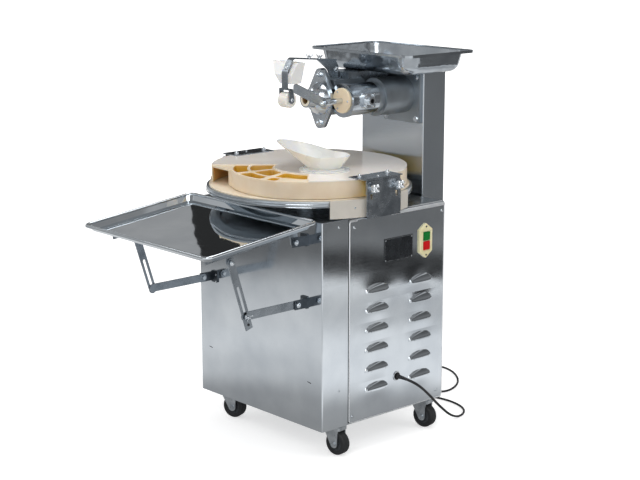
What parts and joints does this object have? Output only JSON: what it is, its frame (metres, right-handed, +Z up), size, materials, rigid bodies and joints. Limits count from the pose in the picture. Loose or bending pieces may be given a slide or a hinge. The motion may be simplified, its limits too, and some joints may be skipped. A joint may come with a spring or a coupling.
{
  "type": "dough divider",
  "caption": "Floor-standing stainless dough divider and rounder on casters, with a hopper, feed nozzle and knife above a turntable with a spiral rounding ring and a folding tray.",
  "frame": {"origin": "on the floor under the middle of the machine's outer box, the power cord left out", "axes": "+Z up, -Y to the front where the tray is, +X to the right side with the louvres and the switch"},
  "size_m": [0.722, 1.4129, 1.204],
  "materials": {
    "stainless": "satin",
    "polished_steel": "polished",
    "cast_alloy": "satin",
    "painted_steel": "matte",
    "cream_plastic": "satin",
    "white_plastic": "gloss",
    "clear_plastic": "gloss",
    "peach_plastic": "satin",
    "bezel_plastic": "gloss",
    "black_plastic": "matte",
    "green_plastic": "gloss",
    "red_plastic": "gloss",
    "cord_rubber": "matte",
    "wheel_rubber": "matte"
  },
  "bodies": {
    "machine": {"front_shell": "stainless", "right_panel": "stainless", "left_panel": "stainless", "back_panel": "stainless", "top_plate": "stainless", "column": "stainless", "ring_brackets": "stainless", "base_plate": "stainless", "feed_throat": "stainless", "arm_bracket": "stainless", "roller_arm": "stainless", "hinge_pins": "stainless", "caster_plates": "stainless", "hopper_pan": "polished_steel", "flange_socket": "polished_steel", "auger_barrel": "cast_alloy", "nozzle_head": "cast_alloy", "cutter_housing": "cast_alloy", "bearing_housing": "cast_alloy", "inner_frame": "painted_steel", "turntable_gearmotor": "painted_steel", "feed_gearmotor": "painted_steel", "hinge_clips": "painted_steel", "disc_guards": "cream_plastic", "nozzle_liner": "cream_plastic", "flour_hopper": "white_plastic", "housing_cap": "peach_plastic", "switch_bezel": "bezel_plastic", "rating_plate": "black_plastic", "switch_block": "black_plastic", "cord_gland": "black_plastic", "power_plug": "black_plastic", "power_cord": "cord_rubber", "cord_coil": "cord_rubber"},
    "turntable": {"turntable_disc": "stainless", "turntable_liner": "cream_plastic", "turntable_shaft": "stainless"},
    "ring": {"rounding_ring": "cream_plastic", "ring_cover": "white_plastic", "feed_scoop": "clear_plastic", "ring_hangers": "stainless", "ring_knobs": "polished_steel"},
    "tray": {"tray_pan": "polished_steel", "tray_rails": "painted_steel"},
    "struts": {"tray_struts": "stainless"},
    "links": {"tray_links": "stainless"},
    "start": {"start_button": "green_plastic"},
    "stop": {"stop_button": "red_plastic"},
    "auger": {"auger": "white_plastic"},
    "cutter": {"cutter_shaft": "stainless", "cutter_knife": "stainless"},
    "roller": {"dusting_roller": "cream_plastic"},
    "fork_fr": {"caster_fork_fr": "stainless"},
    "wheel_fr": {"caster_wheel_fr": "wheel_rubber"},
    "fork_fl": {"caster_fork_fl": "stainless"},
    "wheel_fl": {"caster_wheel_fl": "wheel_rubber"},
    "fork_br": {"caster_fork_br": "stainless"},
    "wheel_br": {"caster_wheel_br": "wheel_rubber"},
    "fork_bl": {"caster_fork_bl": "stainless"},
    "wheel_bl": {"caster_wheel_bl": "wheel_rubber"}
  },
  "joints": [
    {"name": "turntable_spin", "type": "hinge", "parent": "machine", "child": "turntable", "pos_m": [0, 0.10205, 0.78], "axis": [0, 0, 1], "continuous": true},
    {"name": "ring_lift", "type": "slide", "parent": "machine", "child": "ring", "axis": [0, 0, 1], "range_m": [0, 0.009]},
    {"name": "tray_fold", "type": "hinge", "parent": "machine", "child": "tray", "pos_m": [0, -0.15795, 0.68], "axis": [1, 0, 0], "range_deg": [0, 75]},
    {"name": "strut_swing", "type": "hinge", "parent": "tray", "child": "struts", "pos_m": [0, -0.39991, 0.65704], "axis": [1, 0, 0], "range_deg": [-82, 0]},
    {"name": "link_swing", "type": "hinge", "parent": "machine", "child": "links", "pos_m": [0, -0.14995, 0.489], "axis": [1, 0, 0], "range_deg": [0, 84.5]},
    {"name": "start_press", "type": "slide", "parent": "machine", "child": "start", "axis": [-1, 0, 0], "range_m": [0, 0.004], "stiffness_N_per_m": 400, "springref_m": -0.002},
    {"name": "stop_press", "type": "slide", "parent": "machine", "child": "stop", "axis": [-1, 0, 0], "range_m": [0, 0.004], "stiffness_N_per_m": 400, "springref_m": -0.002},
    {"name": "auger_spin", "type": "hinge", "parent": "machine", "child": "auger", "pos_m": [0, 0.25905, 1.058], "axis": [0, 1, 0], "continuous": true},
    {"name": "cutter_spin", "type": "hinge", "parent": "machine", "child": "cutter", "pos_m": [0.088, 0.08205, 1.058], "axis": [0, 1, 0], "continuous": true},
    {"name": "roller_spin", "type": "hinge", "parent": "machine", "child": "roller", "pos_m": [0, 0.01105, 1.065], "axis": [1, 0, 0], "continuous": true},
    {"name": "swivel_fr", "type": "hinge", "parent": "machine", "child": "fork_fr", "pos_m": [0.242, -0.02295, 0.085], "axis": [0, 0, 1], "continuous": true},
    {"name": "roll_fr", "type": "hinge", "parent": "fork_fr", "child": "wheel_fr", "pos_m": [0.26676, -0.01947, 0.0375], "axis": [0.1392, -0.9903, 0], "continuous": true},
    {"name": "swivel_fl", "type": "hinge", "parent": "machine", "child": "fork_fl", "pos_m": [-0.242, -0.04095, 0.085], "axis": [0, 0, 1], "continuous": true},
    {"name": "roll_fl", "type": "hinge", "parent": "fork_fl", "child": "wheel_fl", "pos_m": [-0.21851, -0.0324, 0.0375], "axis": [0.342, -0.9397, 0], "continuous": true},
    {"name": "swivel_br", "type": "hinge", "parent": "machine", "child": "fork_br", "pos_m": [0.242, 0.35905, 0.085], "axis": [0, 0, 1], "continuous": true},
    {"name": "roll_br", "type": "hinge", "parent": "fork_br", "child": "wheel_br", "pos_m": [0.26662, 0.36339, 0.0375], "axis": [0.1736, -0.9848, 0], "continuous": true},
    {"name": "swivel_bl", "type": "hinge", "parent": "machine", "child": "fork_bl", "pos_m": [-0.242, 0.35905, 0.085], "axis": [0, 0, 1], "continuous": true},
    {"name": "roll_bl", "type": "hinge", "parent": "fork_bl", "child": "wheel_bl", "pos_m": [-0.22152, 0.37339, 0.0375], "axis": [0.5736, -0.8192, 0], "continuous": true}
  ],
  "couplings": [
    {"joint": "strut_swing", "follows": "tray_fold", "ratio": -1.0883},
    {"joint": "link_swing", "follows": "tray_fold", "ratio": 1.121}
  ]
}
